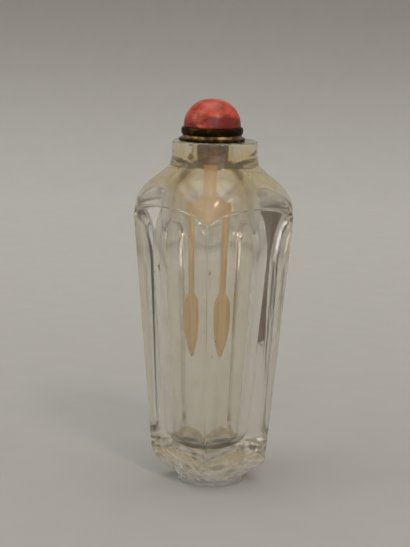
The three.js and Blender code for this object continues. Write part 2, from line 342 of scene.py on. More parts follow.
class GlassShape:
    """Where the outer wall lies, for a zone of its height and an angle off a face's middle."""

    def __init__(self, sizes):
        self.s = sizes
        self.corner_low = sizes.foot_height + sizes.underside_height
        self.corner_high = self.corner_low + sizes.face_height
        self.neck_low = self.corner_high + sizes.shoulder_height

    def half_width(self, z):
        """Axis to the middle of a face at a height."""
        s = self.s
        t = (z - self.corner_low) / s.face_height
        return s.base_half_width + (s.shoulder_half_width - s.base_half_width) * t

    def reach(self, half):
        """Axis to a rounded corner, for an axis to face distance."""
        part = self.s.corner_round / self.s.shoulder_half_width * half
        return (half - part) * math.sqrt(2) + part

    def section(self, half, reach, off):
        """Radius of a rounded square that stands half from the axis and reaches that far at
        its corners."""
        needed = (half * math.sqrt(2) - reach) / (math.sqrt(2) - 1)
        part = min(half, max(0, needed))
        inner = half - part
        if math.tan(off) <= inner / half:
            return half / math.cos(off)
        toward = inner * (math.cos(off) + math.sin(off))
        rest = part**2 - inner**2 * (1 - math.sin(2 * off))
        return toward + math.sqrt(max(0, rest))

    def ends(self, off, angle):
        """Where a face ends below and above. Each corner's lower end is worn its own way."""
        bow = 1 - min(1, math.tan(off)) ** CREASE_FULLNESS
        wear = CORNER_WEAR[int((angle % math.tau) / (math.pi / 2)) % 4] * MM
        low = self.corner_low + self.s.underside_rise * bow + wear * (1 - bow)
        chips = noise.noise(Vector((math.cos(angle), math.sin(angle), 0)) * CHIP_RATE)
        return low + chips * CHIP_DEPTH, self.corner_high + self.s.crease_rise * bow

    def place(self, run, off, angle=0.0):
        """Radius and height at a run, which is a zone's number plus 0 to 1 within it."""
        s = self.s
        low, high = self.ends(off, angle)
        zone = int(run)
        t = run - zone
        if zone == UNDERSIDE:
            spread = 1 - (1 - t) ** UNDERSIDE_FULLNESS
            half = self.half_width(low)
            middle = s.foot_radius + (half - s.foot_radius) * spread
            corner = s.foot_radius + (self.reach(half) - s.foot_radius) * spread
            radius = self.section(middle, corner, off)
            z = s.foot_height + (low - s.foot_height) * t
            spot = Vector((radius * math.cos(angle), radius * math.sin(angle), z * FLAKE_FLATNESS))
            flake = noise.noise(spot / FLAKE_SIZE) * math.sin(math.pi * t)
            return radius + flake * FLAKE_DEPTH, z
        if zone == FACE:
            z = low + (high - low) * t
            half = self.half_width(z)
            return self.section(half, self.reach(half), off), z
        z = high + (self.neck_low - high) * t
        radius = self.shoulder(z, off)
        if t < LIP:
            half = self.half_width(high)
            face = self.section(half, self.reach(half), off)
            radius = face + (radius - face) * math.sqrt(t / LIP)
        return radius, z

    def shoulder(self, z, off):
        """Radius of the shoulder, which is round at the neck and squarer below."""
        s = self.s
        drop = (self.neck_low - z) / s.shoulder_height
        face_drop = 1 - s.crease_rise / s.shoulder_height
        wide = self.half_width(self.corner_high + s.crease_rise) + s.shoulder_swell
        reach = self.reach(self.half_width(self.corner_high))
        start = s.neck_radius + s.neck_flare
        middle = start + (wide - start) * along(FACE_SHOULDER, min(1, drop / face_drop))
        corner = start + (reach - start) * along(CORNER_SHOULDER, min(1, drop))
        return self.section(middle, corner, off)

    def hollow_axis(self, z):
        """Middle of the hollow at a height, which shifts to the bore's as it narrows."""
        low = self.neck_low - self.s.hollow_shoulder
        t = min(1, max(0, (z - low) / self.s.hollow_shoulder))
        return BORE_AXIS.lerp(HOLLOW_AXIS, (1 + math.cos(math.pi * t**HOLLOW_EASE)) / 2)

    def outer_profile(self):
        """Radius, height and run of the outer wall, from the foot's middle to the rim."""
        s = self.s
        edge = s.foot_edge
        points = [(0, 0), (s.foot_radius * 0.5, 0)]
        for i in range(EDGE_STEPS + 1):
            turn = math.pi / 2 * i / EDGE_STEPS
            radius = s.foot_radius - edge + edge * math.sin(turn)
            points.append((radius, edge - edge * math.cos(turn)))
        points.append((s.foot_radius, s.foot_height * 0.7))
        rows = [(r, z, FOOT) for r, z in points]
        bends = [i / UNDERSIDE_STEPS * math.pi / 2 for i in range(UNDERSIDE_STEPS)]
        runs = [UNDERSIDE + (1 - math.cos(bend)) for bend in bends]
        # Rows crowd at a face's two ends, so that its creases stay crisp
        runs += [FACE + 0.002, FACE + 0.01]
        runs += [FACE + i / FACE_STEPS for i in range(1, FACE_STEPS)]
        runs += [FACE + 0.99, FACE + 0.998]
        runs += [SHOULDER + (i / SHOULDER_STEPS) ** 1.1 for i in range(SHOULDER_STEPS)]
        runs += [SHOULDER + 0.9999]
        rows += [(*self.place(run, 0), run) for run in runs]
        rise = RIM_HEIGHT - s.rim_round - self.neck_low
        for i in range(1, NECK_STEPS):
            t = i / NECK_STEPS
            radius = s.neck_radius + s.neck_flare * (1 - t) ** 3
            rows.append((radius, self.neck_low + rise * t, NECK))
        for i in range(EDGE_STEPS + 1):
            turn = math.pi / 2 * i / EDGE_STEPS
            radius = s.neck_radius - s.rim_round * (1 - math.cos(turn))
            rows.append((radius, RIM_HEIGHT - s.rim_round * (1 - math.sin(turn)), NECK))
        return rows

    def inner_profile(self):
        """Radius, height and run of the hollow, from the rim down to its floor's middle."""
        s = self.s

        def radius_at(z):
            t = (z - self.corner_low) / s.face_height
            wall = s.wall_at_base + (s.wall_at_shoulder - s.wall_at_base) * t
            return self.half_width(z) - wall

        start = s.floor_thickness + s.floor_round
        end = self.neck_low - s.hollow_shoulder
        points = [(0, s.floor_thickness)]
        for i in range(1, FLOOR_STEPS + 1):
            turn = math.pi / 2 * i / FLOOR_STEPS
            radius = radius_at(start) * math.sin(turn) ** (2 / FLOOR_FULLNESS)
            lift = max(0, math.cos(turn)) ** (2 / FLOOR_FULLNESS)
            points.append((radius, start - s.floor_round * lift))
        for i in range(1, WALL_STEPS + 1):
            z = start + (end - start) * i / WALL_STEPS
            points.append((radius_at(z), z))
        for i in range(1, NARROWING_STEPS + 1):
            t = i / NARROWING_STEPS
            swing = (1 + math.cos(math.pi * t**HOLLOW_EASE)) / 2
            radius = s.bore_radius + (radius_at(end) - s.bore_radius) * swing
            points.append((radius, end + s.hollow_shoulder * t))
        for i in range(1, BORE_STEPS + 1):
            z = self.neck_low + (RIM_HEIGHT - MOUTH_EDGE - self.neck_low) * i / BORE_STEPS
            points.append((s.bore_radius, z))
        points.append((s.bore_radius + MOUTH_EDGE, RIM_HEIGHT))
        return [(r, z, HOLLOW) for r, z in reversed(points)]


def crowd_corners(angle):
    """Angle moved towards the nearest corner, and how far it then is off its face's middle."""
    quarter = math.pi / 2
    face = round(angle / quarter)
    t = (angle - face * quarter) / (quarter / 2)
    size = min(1, abs(t))
    moved = 1 - (1 - size) ** 2.2 * (1 - 0.35 * size) if size > 0 else 0
    moved = 0.25 * size + 0.75 * moved if size < 1 else 1
    off = moved * quarter / 2
    return face * quarter + math.copysign(off, t), off


def glass_material(name, clearness):
    """A new glass material, with clearness and IOR as plain values."""
    material, tree, shader, place = new_material(name)
    shader.inputs["IOR"].default_value = 1.5
    shader.inputs["Transmission Weight"].default_value = clearness
    return material, tree, shader, place


def polished_glass(sizes):
    """Lead glass, cut and hand polished, under a thin film from handling: clear, barely warm,
    with faint polish waves and fine dark seeds."""
    material, tree, shader, place = glass_material("Clear lead glass, cut and polished", 0.95)
    cloud = add_node(
        tree, "ShaderNodeTexNoise", inputs={"Vector": place, "Scale": 1 / (5 * MM), "Detail": 4}
    ).outputs["Fac"]
    clear = add_node(
        tree,
        "ShaderNodeValToRGB",
        inputs={"Fac": cloud},
        stops=((0.4, srgb("F9F5EA")), (0.62, tuple(sizes.tint))),
    ).outputs["Color"]
    seeds = add_node(
        tree, "ShaderNodeTexVoronoi", inputs={"Vector": place, "Scale": 1 / (3.4 * MM)}
    ).outputs["Distance"]
    shown = add_node(
        tree,
        "ShaderNodeValToRGB",
        inputs={"Fac": seeds},
        stops=((0.045, grey(0)), (0.065, grey(1))),
    ).outputs["Color"]
    colour = add_node(
        tree, "ShaderNodeMix", {"data_type": "RGBA"}, {0: shown, 6: srgb("4A3C30"), 7: clear}
    ).outputs[2]
    tree.links.new(colour, shader.inputs["Base Color"])
    rough = add_node(
        tree,
        "ShaderNodeValToRGB",
        inputs={"Fac": cloud},
        stops=((0.4, grey(0.03)), (0.6, grey(0.0))),
    ).outputs["Color"]
    tree.links.new(rough, shader.inputs["Roughness"])
    waves = add_node(
        tree, "ShaderNodeTexNoise", inputs={"Vector": place, "Scale": 1 / (4 * MM), "Detail": 2}
    ).outputs["Fac"]
    bump = add_node(
        tree, "ShaderNodeBump", inputs={"Height": waves, "Strength": 0.08, "Distance": 0.0003}
    )
    tree.links.new(bump.outputs["Normal"], shader.inputs["Normal"])
    return material


def handled_glass(sizes):
    """The shoulder and neck outside, hazed by handling and never wiped clean, so that they
    blur what lies behind, with amber snuff stain about the foot of the neck."""
    material, tree, shader, place = glass_material("Clear lead glass, hazed and stained", 0.91)
    cloud = add_node(
        tree, "ShaderNodeTexNoise", inputs={"Vector": place, "Scale": 1 / (4 * MM), "Detail": 5}
    ).outputs["Fac"]
    height = add_node(tree, "ShaderNodeSeparateXYZ", inputs={0: place}).outputs["Z"]
    level = add_node(
        tree, "ShaderNodeMath", {"operation": "MULTIPLY_ADD"}, {0: cloud, 1: 0.008, 2: height}
    ).outputs[0]
    rise = add_node(
        tree,
        "ShaderNodeMapRange",
        {"clamp": True},
        {"Value": level, "From Min": NECK_STAIN[0], "From Max": NECK_STAIN[1]},
    ).outputs[0]
    colour = add_node(
        tree,
        "ShaderNodeValToRGB",
        inputs={"Fac": rise},
        stops=(
            (0.0, srgb("F6F1E4")),
            (0.35, srgb("F8F4E8")),
            (0.5, srgb("EFD5A0")),
            (0.68, srgb("EDD19A")),
            (0.8, srgb("F6EBD2")),
        ),
    ).outputs["Color"]
    tree.links.new(colour, shader.inputs["Base Color"])
    haze = add_node(
        tree,
        "ShaderNodeValToRGB",
        inputs={"Fac": rise},
        stops=((0.0, grey(0.16)), (0.35, grey(0.14)), (0.6, grey(0.12)), (0.75, grey(0.06))),
    ).outputs["Color"]
    tree.links.new(haze, shader.inputs["Roughness"])
    return material


def clouded_glass(name, clearness, size, detail, colours, roughs):
    """Glass whose colour and roughness drift in clouds of one size."""
    material, tree, shader, place = glass_material(name, clearness)
    cloud = add_node(
        tree, "ShaderNodeTexNoise", inputs={"Vector": place, "Scale": 1 / size, "Detail": detail}
    ).outputs["Fac"]
    for stops, socket in ((colours, "Base Color"), (roughs, "Roughness")):
        drift = add_node(tree, "ShaderNodeValToRGB", inputs={"Fac": cloud}, stops=stops)
        tree.links.new(drift.outputs["Color"], shader.inputs[socket])
    return material


def drilled_glass(sizes):
    """The wall of the hollow, smoothed down the body by years of use but never bright."""
    return clouded_glass(
        "Clear lead glass, drilled hollow",
        clearness=0.9,
        size=5 * MM,
        detail=4,
        colours=((0.35, srgb("F6F2E6")), (0.6, tuple(sizes.tint))),
        roughs=((0.4, grey(0.02)), (0.7, grey(0.07))),
    )


def frosted_glass(sizes):
    """The shoulder of the hollow, left as the drill ground it, so milky."""
    return clouded_glass(
        "Clear lead glass, ground shoulder",
        clearness=0.86,
        size=3 * MM,
        detail=5,
        colours=((0.35, srgb("F2EBDA")), (0.6, srgb("FCFAF4"))),
        roughs=((0.35, grey(0.1)), (0.65, grey(0.2))),
    )


def bore_glass(sizes):
    """The bore, kept bright by the plug, with a film of snuff."""
    return clouded_glass(
        "Clear lead glass with a snuff film",
        clearness=0.97,
        size=2 * MM,
        detail=5,
        colours=((0.35, srgb("E9DDBF")), (0.6, srgb("F7F2E4"))),
        roughs=((0.35, grey(0.1)), (0.65, grey(0.03))),
    )


def stained_glass(sizes):
    """The bend from the hollow's floor to its wall, where a cream film of snuff has settled."""
    material, tree, shader, place = glass_material("Lead glass under snuff residue", 0.6)
    cloud = add_node(
        tree, "ShaderNodeTexNoise", inputs={"Vector": place, "Scale": 1 / (2 * MM), "Detail": 5}
    ).outputs["Fac"]
    colour = add_node(
        tree,
        "ShaderNodeValToRGB",
        inputs={"Fac": cloud},
        stops=((0.35, srgb("E2CFA4")), (0.55, srgb("F0E2C2")), (0.7, srgb("F8F0DC"))),
    ).outputs["Color"]
    tree.links.new(colour, shader.inputs["Base Color"])
    shader.inputs["Roughness"].default_value = 0.3
    return material


def ground_glass(sizes):
    """The rounded underside and foot, ground with coarse grit and never polished: whitish
    with amber dirt towards the faces, chipped in flat flakes about 3.2 mm wide, so it sparkles."""
    material, tree, shader, place = glass_material("Clear lead glass, ground base", 0.64)
    cloud = add_node(
        tree, "ShaderNodeTexNoise", inputs={"Vector": place, "Scale": 1 / (2 * MM), "Detail": 4}
    ).outputs["Fac"]
    height = add_node(tree, "ShaderNodeSeparateXYZ", inputs={0: place}).outputs["Z"]
    level = add_node(
        tree, "ShaderNodeMath", {"operation": "MULTIPLY_ADD"}, {0: cloud, 1: 0.006, 2: height}
    ).outputs[0]
    rise = add_node(
        tree,
        "ShaderNodeMapRange",
        {"clamp": True},
        {"Value": level, "From Min": BASE_DIRT[0], "From Max": BASE_DIRT[1]},
    ).outputs[0]
    colour = add_node(
        tree,
        "ShaderNodeValToRGB",
        inputs={"Fac": rise},
        stops=((0.2, srgb("FEFCF6")), (0.55, srgb("F9F0DE")), (0.85, srgb("E8D4A8"))),
    ).outputs["Color"]
    tree.links.new(colour, shader.inputs["Base Color"])
    rough = add_node(
        tree,
        "ShaderNodeValToRGB",
        inputs={"Fac": cloud},
        stops=((0.42, grey(0.0)), (0.66, grey(0.14))),
    ).outputs["Color"]
    tree.links.new(rough, shader.inputs["Roughness"])
    flat = add_node(
        tree, "ShaderNodeMapping", inputs={"Vector": place, "Scale": (1, 1, 2.2)}
    ).outputs[0]
    flakes = add_node(
        tree,
        "ShaderNodeTexVoronoi",
        {"feature": "SMOOTH_F1"},
        {"Vector": flat, "Scale": 1 / (3.2 * MM), "Smoothness": 0.2},
    ).outputs["Distance"]
    bump = add_node(
        tree, "ShaderNodeBump", inputs={"Height": flakes, "Strength": 1.0, "Distance": 0.001}
    )
    tree.links.new(bump.outputs["Normal"], shader.inputs["Normal"])
    return material


class MakeGlassBody(Operator):
    """Turns a round blank with its hollow, then cuts the outside square"""

    bl_idname = "object.make_snuff_glass"
    bl_label = "Glass Body"

    def execute(self, context):
        sizes = context.scene.snuff_glass
        shape = GlassShape(sizes)
        rows = shape.outer_profile() + shape.inner_profile()
        bm = bmesh.new()
        layer = spin_profile(bm, [r[:2] for r in rows], BODY_STEPS, tag=[r[2] for r in rows])
        for vert in bm.verts:
            run = vert[layer]
            angle, off = crowd_corners(math.atan2(vert.co.y, vert.co.x))
            radius = math.hypot(vert.co.x, vert.co.y)
            if run < FOOT and radius > 1e-7:
                radius, vert.co.z = shape.place(run, off, angle)
            vert.co.x = radius * math.cos(angle)
            vert.co.y = radius * math.sin(angle)
            if run == HOLLOW:
                axis = shape.hollow_axis(vert.co.z)
                vert.co.x += axis.x
                vert.co.y += axis.y
            elif run == FOOT or run < FACE:
                part = 1 if run == FOOT else (2 - run) ** UNDERSIDE_FULLNESS
                vert.co.x += sizes.foot_shift[0] * part
                vert.co.y += sizes.foot_shift[1] * part
        stain_low, stain_high = (
            sizes.floor_thickness + sizes.floor_round * share for share in STAIN_SPAN
        )
        film_low = shape.neck_low - sizes.hollow_shoulder * FILM_DEPTH
        frost_low = shape.neck_low - sizes.hollow_shoulder * FROST_DEPTH
        for face in bm.faces:
            runs = [v[layer] for v in face.verts]
            z = face.calc_center_median().z
            if min(runs) == HOLLOW:
                high = BORE if z > film_low else FROSTED
                low = STAINED if stain_low < z < stain_high else DRILLED
                face.material_index = high if z > frost_low else low
            elif all(r == FOOT or r < FACE for r in runs):
                face.material_index = GROUND
            elif all(SHOULDER <= r < FOOT or r == NECK for r in runs):
                face.material_index = HANDLED
            else:
                face.material_index = POLISHED
        looks = [polished_glass, drilled_glass, frosted_glass, stained_glass, ground_glass]
        looks += [handled_glass, bore_glass]
        materials = [look(sizes) for look in looks]
        finish_piece(bm, "glass_body", "bottle", "clear_glass", *materials)
        return {"FINISHED"}


# Stopper

DOME_STEPS = 36
COVE_STEPS = 8
BEZEL_STEPS = 16
PLUG_STEPS = 12
TURN_STEPS = 96
PLUG_TURN_STEPS = 72
FLANGE_EDGE = 0.15 * MM
PLUG_EDGE = 0.35 * MM
# Radius of the plug's lower end and of the ring above its worn edge, as shares of its own
PLUG_END = 0.86
PLUG_TIP = 0.95
# Below 1, the bezel's section is squarer than a half round
BEZEL_POWER = 0.6


def coral_material(settings):
    """Polished precious coral: waxy red with paler clouds and dark growth streaks about
    4 mm long. Painted shade spreads the streaks towards the setting, darkening the dome low down."""
    material, tree, shader, place = new_material("Precious coral, polished")
    cloud = add_node(
        tree, "ShaderNodeTexNoise", inputs={"Vector": place, "Scale": 1 / (3 * MM), "Detail": 6}
    ).outputs["Fac"]
    flat = add_node(
        tree, "ShaderNodeMapping", inputs={"Vector": place, "Scale": (1, 1, 2.5)}
    ).outputs[0]
    streaks = add_node(
        tree,
        "ShaderNodeTexNoise",
        inputs={"Vector": flat, "Scale": 1 / (4 * MM), "Detail": 6, "Roughness": 0.62},
    ).outputs["Fac"]
    height = add_node(tree, "ShaderNodeSeparateXYZ", inputs={0: place}).outputs["Z"]
    low, high = DOME_BOX[0].z, DOME_BOX[1].z
    # Painted shade: the lower the place on the dome, the more of it the dark streaks cover
    depth = add_node(
        tree,
        "ShaderNodeMapRange",
        {"clamp": True},
        {"Value": height, "From Min": low, "From Max": high, "To Min": 0.3, "To Max": -0.1},
    ).outputs[0]
    dark = add_node(tree, "ShaderNodeMath", {"operation": "ADD"}, {0: streaks, 1: depth}).outputs[0]
    shown = add_node(
        tree,
        "ShaderNodeValToRGB",
        inputs={"Fac": dark},
        stops=((0.58, grey(0)), (0.74, grey(1))),
    ).outputs["Color"]
    body = add_node(
        tree,
        "ShaderNodeValToRGB",
        inputs={"Fac": cloud},
        stops=((0.35, srgb("A02C16")), (0.52, tuple(settings.coral)), (0.7, srgb("CF6A48"))),
    ).outputs["Color"]
    colour = add_node(
        tree, "ShaderNodeMix", {"data_type": "RGBA"}, {0: shown, 6: body, 7: srgb("761804")}
    ).outputs[2]
    tree.links.new(colour, shader.inputs["Base Color"])
    rough = add_node(
        tree,
        "ShaderNodeValToRGB",
        inputs={"Fac": cloud},
        stops=((0.4, grey(0.28)), (0.7, grey(0.4))),
    ).outputs["Color"]
    tree.links.new(rough, shader.inputs["Roughness"])
    shader.inputs["IOR"].default_value = 1.49
    return material


def brass_material():
    """Old brass under a nearly black patina, with dull gold specks along the flange. The dull gold
    band in the cove and the lighter top edge of the bezel are partly wear, partly painted
    highlight."""
    material, tree, shader, place = new_material("Brass, dark patina")
    cloud = add_node(
        tree, "ShaderNodeTexNoise", inputs={"Vector": place, "Scale": 1 / (1.6 * MM), "Detail": 6}
    ).outputs["Fac"]
    height = add_node(tree, "ShaderNodeSeparateXYZ", inputs={0: place}).outputs["Z"]
    low, high = COLLAR_BOX[0].z, COLLAR_BOX[1].z
    rise = add_node(
        tree,
        "ShaderNodeMapRange",
        {"clamp": True},
        {"Value": height, "From Min": low, "From Max": high},
    ).outputs[0]
    # Lighter in the cove and at the bezel's top edge: partly wear, partly painted highlight
    worn = add_node(
        tree,
        "ShaderNodeValToRGB",
        inputs={"Fac": rise},
        stops=(
            (0.14, grey(0.05)),
            (0.26, grey(0.28)),
            (0.4, grey(0.27)),
            (0.5, grey(0.0)),
            (0.9, grey(0.0)),
            (1.0, grey(0.1)),
        ),
    ).outputs["Color"]
    share = add_node(tree, "ShaderNodeMath", {"operation": "ADD"}, {0: cloud, 1: worn}).outputs[0]
    colour = add_node(
        tree,
        "ShaderNodeValToRGB",
        inputs={"Fac": share},
        stops=((0.52, srgb("241B0D")), (0.72, srgb("5C4324")), (0.95, srgb("B89A6A"))),
    ).outputs["Color"]
    rough = add_node(
        tree,
        "ShaderNodeValToRGB",
        inputs={"Fac": share},
        stops=((0.5, grey(0.55)), (0.9, grey(0.35))),
    ).outputs["Color"]
    tree.links.new(colour, shader.inputs["Base Color"])
    tree.links.new(rough, shader.inputs["Roughness"])
    shader.inputs["Metallic"].default_value = 1.0
    bump = add_node(
        tree, "ShaderNodeBump", inputs={"Height": cloud, "Strength": 0.4, "Distance": 0.0002}
    )
    tree.links.new(bump.outputs["Normal"], shader.inputs["Normal"])
    return material


def cork_material():
    """Natural cork stained by snuff: warm brown, dull, with dark pores under 1 mm wide."""
    material, tree, shader, place = new_material("Cork, snuff stained")
    cloud = add_node(
        tree, "ShaderNodeTexNoise", inputs={"Vector": place, "Scale": 1 / (1.4 * MM), "Detail": 5}
    ).outputs["Fac"]
    colour = add_node(
        tree,
        "ShaderNodeValToRGB",
        inputs={"Fac": cloud},
        stops=((0.38, srgb("52290A")), (0.52, srgb("834A16")), (0.7, srgb("A86E2C"))),
    ).outputs["Color"]
    tree.links.new(colour, shader.inputs["Base Color"])
    shader.inputs["Roughness"].default_value = 0.9
    bump = add_node(
        tree, "ShaderNodeBump", inputs={"Height": cloud, "Strength": 0.6, "Distance": 0.0003}
    )
    tree.links.new(bump.outputs["Normal"], shader.inputs["Normal"])
    return material


def turn_piece(profile, axis, name, node, slot, material, steps=TURN_STEPS):
    """Makes a piece by turning its profile round an upright axis."""
    bm = bmesh.new()
    spin_profile(bm, profile, steps, (axis.x, axis.y, 0))
    finish_piece(bm, name, node, slot, material)


class MakeStopper(Operator):
    """Turns the coral dome, the two-tier brass collar and the cork plug"""

    bl_idname = "object.make_snuff_stopper"
    bl_label = "Stopper"

    def execute(self, context):
        settings = context.scene.snuff_stopper

        low, high = DOME_BOX[0].z, DOME_BOX[1].z
        radius = (DOME_BOX[1].x - DOME_BOX[0].x) / 2
        power = 2 / settings.dome_fullness
        profile = [(0, low), (radius * 0.9, low)]
        for i in range(DOME_STEPS + 1):
            turn = math.pi / 2 * i / DOME_STEPS
            spread = max(0, math.cos(turn)) ** power
            profile.append((radius * spread, low + (high - low) * math.sin(turn) ** power))
        profile[-1] = (0, high)
        coral = coral_material(settings)
        turn_piece(profile, HOLLOW_AXIS, "coral_dome", "stopper_cabochon", "coral", coral)

        low, high = COLLAR_BOX[0].z, COLLAR_BOX[1].z
        radius = (COLLAR_BOX[1].x - COLLAR_BOX[0].x) / 2
        edge = FLANGE_EDGE
        top = low + settings.flange_height
        cove = settings.cove_radius
        profile = [(0, low), (radius * 0.8, low), (radius - edge, low), (radius, low + edge)]
        profile += [(radius, top - edge), (radius - edge, top)]
        for i in range(1, COVE_STEPS + 1):
            turn = math.pi / 2 * i / COVE_STEPS
            reach = radius - edge - cove
            rise = settings.cove_height * (1 - math.cos(turn))
            profile.append((cove + reach * (1 - math.sin(turn)), top + rise))
        bezel_low = top + settings.cove_height
        depth = settings.bezel_radius - cove
        for i in range(1, BEZEL_STEPS + 1):
            turn = math.pi * i / BEZEL_STEPS
            bulge = depth * max(0, math.sin(turn)) ** BEZEL_POWER
            z = bezel_low + (high - bezel_low) * (1 - math.cos(turn)) / 2
            profile.append((cove + bulge, z))
        profile.append((0, high))
        brass = brass_material()
        turn_piece(profile, HOLLOW_AXIS, "brass_collar", "stopper_collar", "dark_brass", brass)

        low, high = PLUG_BOX[0].z, PLUG_BOX[1].z
        radius = (PLUG_BOX[1].x - PLUG_BOX[0].x) / 2
        profile = [(0, low), (radius * 0.5, low), (radius * PLUG_END, low)]
        profile.append((radius * PLUG_TIP, low + PLUG_EDGE))
        for i in range(1, PLUG_STEPS + 1):
            t = i / PLUG_STEPS
            profile.append((radius * (PLUG_TIP + (1 - PLUG_TIP) * t), low + (high - low) * t))
        profile.append((0, high))
        cork = cork_material()
        steps = PLUG_TURN_STEPS
        turn_piece(profile, BORE_AXIS, "cork_plug", "stopper_plug", "cork", cork, steps)
        return {"FINISHED"}


# Spoon

# Half width of the blade, at a share of its length up from the tip
LEAF = [
    (0, 0.12),
    (0.03, 0.25),
    (0.09, 0.41),
    (0.23, 0.69),
    (0.38, 0.88),
    (0.52, 0.98),
    (0.65, 1),
    (0.8, 0.98),
    (0.88, 0.9),
    (0.94, 0.7),
    (1, 0.373),
]
BLADE_STEPS = 56
HANDLE_STEPS = 24
SECTION_STEPS = 40
# How far the blade's tip swings to the side
TIP_SWING = 0.25 * MM


def bone_material():
    """Cut bone, yellowed and handled: tan with fine dark grain along its length."""
    material, tree, shader, place = new_material("Bone, carved and worn")
    stretch = add_node(
        tree, "ShaderNodeMapping", inputs={"Vector": place, "Scale": (1200, 1200, 80)}
    ).outputs[0]
    grain = add_node(
        tree, "ShaderNodeTexNoise", inputs={"Vector": stretch, "Scale": 1, "Detail": 4}
    ).outputs["Fac"]
    colour = add_node(
        tree,
        "ShaderNodeValToRGB",
        inputs={"Fac": grain},
        stops=((0.3, srgb("E0B97C")), (0.5, srgb("EECB90")), (0.7, srgb("F5D7A2"))),
    ).outputs["Color"]
    tree.links.new(colour, shader.inputs["Base Color"])
    shader.inputs["Roughness"].default_value = 0.5
    return material


class MakeSpoon(Operator):
    """Draws the spoon up from its tip as one rounded strip"""

    bl_idname = "object.make_snuff_spoon"
    bl_label = "Spoon"

    def execute(self, context):
        settings = context.scene.snuff_spoon
        low, high = SPOON_BOX[0].z, SPOON_BOX[1].z
        sections = []
        # The blade thickens from its tip, is hollowed, and runs into the handle
        for i in range(BLADE_STEPS + 1):
            t = (i / BLADE_STEPS) ** 1.1
            wide = settings.blade_width / 2 * along(LEAF, t)
            leaf = settings.blade_thickness * (0.45 + 0.55 * min(1, 6 * t))
            depth = leaf + (settings.handle_thickness - leaf) * max(0, (t - 0.7) / 0.3) ** 1.5
            hollow = settings.blade_hollow * max(0, math.sin(math.pi * min(1, t * 1.02))) ** 0.7
            sections.append((low + settings.blade_length * t, wide, depth / 2, hollow))
        start = low + settings.blade_length
        spread = settings.handle_width - settings.handle_tip_width
        for i in range(1, HANDLE_STEPS + 1):
            t = i / HANDLE_STEPS
            wide = settings.handle_tip_width + spread * t
            z = start + (high - start) * t
            sections.append((z, wide / 2, settings.handle_thickness / 2, 0))
        turn = settings.turn
        bm = bmesh.new()
        made = bmesh.ops.create_circle(bm, cap_ends=True, radius=1, segments=SECTION_STEPS)
        ring = made["verts"]
        edges = list({e for v in ring for e in v.link_edges})
        rings = [ring]
        for _ in sections[1:]:
            made = bmesh.ops.extrude_edge_only(bm, edges=edges)["geom"]
            edges = [g for g in made if isinstance(g, bmesh.types.BMEdge)]
            rings.append([g for g in made if isinstance(g, bmesh.types.BMVert)])
        bmesh.ops.holes_fill(bm, edges=edges, sides=0)
        for verts, (z, wide, deep, hollow) in zip(rings, sections):
            bow = 1 - ((z - low) / (high - low)) ** 3
            for vert in verts:
                across, side = vert.co.x, vert.co.y
                x = -TIP_SWING * bow + wide * across
                y = -settings.offset - settings.bow * bow + deep * side + hollow * (across**2 - 0.5)
                vert.co = (
                    HOLLOW_AXIS.x + x * math.cos(turn) - y * math.sin(turn),
                    HOLLOW_AXIS.y + x * math.sin(turn) + y * math.cos(turn),
                    z,
                )
        finish_piece(bm, "bone_spoon", "spoon", "bone", bone_material())
        return {"FINISHED"}


# Stage, in metres to the camera's right, away from it and up

SWEEP_NEAR = -1.6
SWEEP_BEND = 0.44
SWEEP_RADIUS = 0.17
SWEEP_TOP = 1.8
SWEEP_HALF_WIDTH = 1.8
# Painted shade on the paper lies between these depths, in these tones at these shares of the way
SHADE_NEAR = -0.2
SHADE_FAR = 0.65
SHADE_TONES = (
    (0.094, "B0AFAB"),
    (0.3, "B5B4B0"),
    (0.47, "BFBEBA"),
    (0.753, "CAC9C5"),
    (0.824, "BFBEBB"),
    (0.867, "B6B5B1"),
    (0.894, "ADABA8"),
    (0.918, "A2A09C"),
    (0.938, "979590"),
    (0.948, "BCBBB7"),
)
# Cards that only the glass shows: name, (side, height) points, near edge and depth
CARDS = (
    ("dark_card", ((-0.455, 0), (-0.6, 0), (-0.6, 0.09)), -0.07, 0.24),
    ("dark_mat", ((-0.16, 0), (-0.38, 0)), 0.06, 0.14),
)
CARD_LIFT = 1 * MM
# Name, side, depth, height, size, watts and colour
LAMPS = (
    ("window_softbox", -0.75, -0.25, 0.6, 0.9, 1.5, "FCFBFB"),
    ("ceiling_softbox", 0.0, 0.12, 1.0, 0.85, 2.8, "FFFDF9"),
    ("front_softbox", 0.1, -1.0, 0.45, 0.8, 1.75, "FFFDFA"),
    ("warm_lamp", 0.384, -0.744, 0.9, 0.16, 1.9, "FFEAD6"),
)
LAMP_AIM = 0.045
CAMERA_AIM = 0.04385
CAMERA_SHIFT = 0.0015
CAMERA_LENS = 97.67


